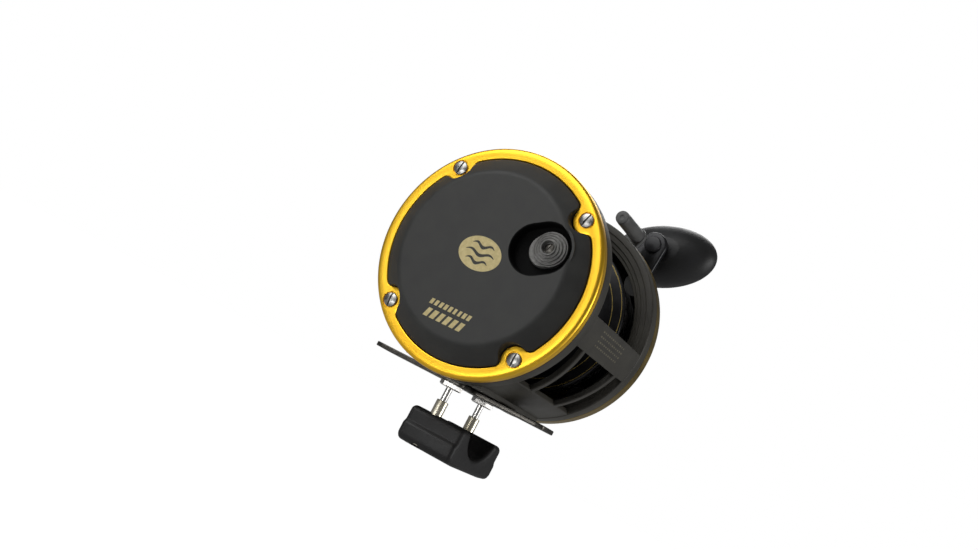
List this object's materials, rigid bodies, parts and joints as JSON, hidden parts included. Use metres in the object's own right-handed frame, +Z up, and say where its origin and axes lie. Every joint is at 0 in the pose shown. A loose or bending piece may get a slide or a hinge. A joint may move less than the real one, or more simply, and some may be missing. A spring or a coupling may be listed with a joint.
{
  "type": "trolling reel",
  "caption": "Level-wind trolling reel with gold side rings, star drag, crank with torpedo knob, free-spool lever, sliding click button, foot and rod clamp.",
  "frame": {"origin": "middle of the foot's flat underside, straight below the spool axis", "axes": "+X to the rear of the reel (the rod's butt), +Y along the spool axis to the handle side, +Z up away from the rod"},
  "size_m": [0.085, 0.1334, 0.1307],
  "materials": {
    "graphite": "matte charcoal graphite composite with a fine grain",
    "gold_anodised": "bright gold anodised aluminium, satin polished",
    "stainless_steel": "machined stainless steel",
    "brass": "machined brass",
    "nickel": "nickel plate",
    "black_anodised": "black anodised aluminium, half gloss",
    "rubber": "soft-touch black rubber",
    "carbon_fibre": "woven carbon friction disc",
    "grey_nylon": "grey glass-filled nylon"
  },
  "bodies": {
    "root": {"frame": "graphite", "left_plate": "graphite", "left_ring": "gold_anodised", "left_screw_1": "stainless_steel", "left_screw_2": "stainless_steel", "left_screw_3": "stainless_steel", "left_screw_4": "stainless_steel", "right_plate": "graphite", "right_ring": "gold_anodised", "right_screw_1": "stainless_steel", "right_screw_2": "stainless_steel", "right_screw_3": "stainless_steel", "right_screw_4": "stainless_steel", "left_bearing": "stainless_steel", "right_bearing": "stainless_steel", "click_spring": "stainless_steel", "bridge_plate": "stainless_steel", "yoke_spring_1": "stainless_steel", "yoke_spring_2": "stainless_steel", "worm_tube": "stainless_steel", "guide_rod": "stainless_steel", "foot": "stainless_steel", "clamp_stud_1": "nickel", "clamp_stud_2": "nickel"},
    "crank": {"drive_shaft": "stainless_steel", "main_gear": "brass", "level_gear": "grey_nylon", "ratchet": "stainless_steel", "drag_washer_carbon_1": "carbon_fibre", "drag_washer_steel": "stainless_steel", "drag_washer_carbon_2": "carbon_fibre", "pressure_washer": "stainless_steel", "handle_arm": "black_anodised", "handle_nut": "nickel", "nut_lock_screw": "stainless_steel", "knob_spindle": "stainless_steel"},
    "star": {"star_drag": "black_anodised"},
    "knob": {"handle_knob": "rubber"},
    "spool": {"spool": "black_anodised", "spool_shaft": "stainless_steel", "click_gear": "stainless_steel"},
    "yoke": {"yoke": "stainless_steel"},
    "pinion": {"pinion": "brass"},
    "lever": {"free_spool_lever": "black_anodised", "free_spool_cam": "stainless_steel"},
    "click": {"click_button": "grey_nylon", "click_screw": "stainless_steel", "click_tongue": "stainless_steel"},
    "carriage": {"line_carriage": "graphite", "guide_insert": "nickel", "pawl_cap": "brass"},
    "pawl": {"pawl": "brass"},
    "worm": {"worm_shaft": "stainless_steel", "worm_gear": "grey_nylon"},
    "idler": {"idler_gear": "grey_nylon"},
    "dog": {"dog": "stainless_steel"},
    "cap": {"bearing_cap": "black_anodised"},
    "clamp": {"rod_clamp": "graphite", "clamp_nut_1": "brass", "clamp_nut_2": "brass"}
  },
  "joints": [
    {"name": "crank_turn", "type": "hinge", "parent": "root", "child": "crank", "pos_m": [0.00605, 0.05, 0.02567], "axis": [0, 1, 0], "continuous": true},
    {"name": "star_turn", "type": "hinge", "parent": "crank", "child": "star", "pos_m": [0.00605, 0.055, 0.02567], "axis": [0, 1, 0], "range_deg": [-150, 150]},
    {"name": "knob_turn", "type": "hinge", "parent": "crank", "child": "knob", "pos_m": [0.013, 0.0775, 0.0895], "axis": [0, 1, 0], "continuous": true},
    {"name": "spool_turn", "type": "hinge", "parent": "root", "child": "spool", "pos_m": [0, 0, 0.0423], "axis": [0, 1, 0], "continuous": true},
    {"name": "yoke_slide", "type": "slide", "parent": "root", "child": "yoke", "axis": [0, 1, 0], "range_m": [0, 0.002]},
    {"name": "pinion_turn", "type": "hinge", "parent": "yoke", "child": "pinion", "pos_m": [0, 0.04, 0.0423], "axis": [0, 1, 0], "continuous": true},
    {"name": "lever_turn", "type": "hinge", "parent": "root", "child": "lever", "pos_m": [-0.002, 0.05, 0.0643], "axis": [0, -1, 0], "range_deg": [0, 40]},
    {"name": "click_slide", "type": "slide", "parent": "root", "child": "click", "axis": [-0.866, 0, -0.5], "range_m": [0, 0.004]},
    {"name": "carriage_slide", "type": "slide", "parent": "root", "child": "carriage", "axis": [0, 1, 0], "range_m": [-0.0155, 0.0155]},
    {"name": "pawl_swivel", "type": "hinge", "parent": "carriage", "child": "pawl", "pos_m": [-0.03521, 0, 0.03482], "axis": [1, 0, 0], "range_deg": [-25, 25]},
    {"name": "worm_turn", "type": "hinge", "parent": "root", "child": "worm", "pos_m": [-0.03521, 0, 0.03482], "axis": [0, 1, 0], "continuous": true},
    {"name": "idler_turn", "type": "hinge", "parent": "root", "child": "idler", "pos_m": [-0.01679, 0.0315, 0.03073], "axis": [0, 1, 0], "continuous": true},
    {"name": "dog_swing", "type": "hinge", "parent": "root", "child": "dog", "pos_m": [-0.00724, 0.0372, 0.02332], "axis": [0, -1, 0], "range_deg": [0, 12], "stiffness_Nm_per_rad": 0.001, "springref_deg": -5.73},
    {"name": "cap_turn", "type": "hinge", "parent": "root", "child": "cap", "pos_m": [0, 0.052, 0.0423], "axis": [0, 1, 0], "range_deg": [-90, 90]},
    {"name": "clamp_slide", "type": "slide", "parent": "root", "child": "clamp", "axis": [0, 0, -1], "range_m": [0, 0.003]}
  ],
  "couplings": [
    {"joint": "spool_turn", "follows": "crank_turn", "ratio": -4.9},
    {"joint": "pinion_turn", "follows": "crank_turn", "ratio": -4.9},
    {"joint": "idler_turn", "follows": "crank_turn", "ratio": -0.73333},
    {"joint": "worm_turn", "follows": "crank_turn", "ratio": 2},
    {"joint": "yoke_slide", "follows": "lever_turn", "m_per_rad": 0.0028648}
  ]
}
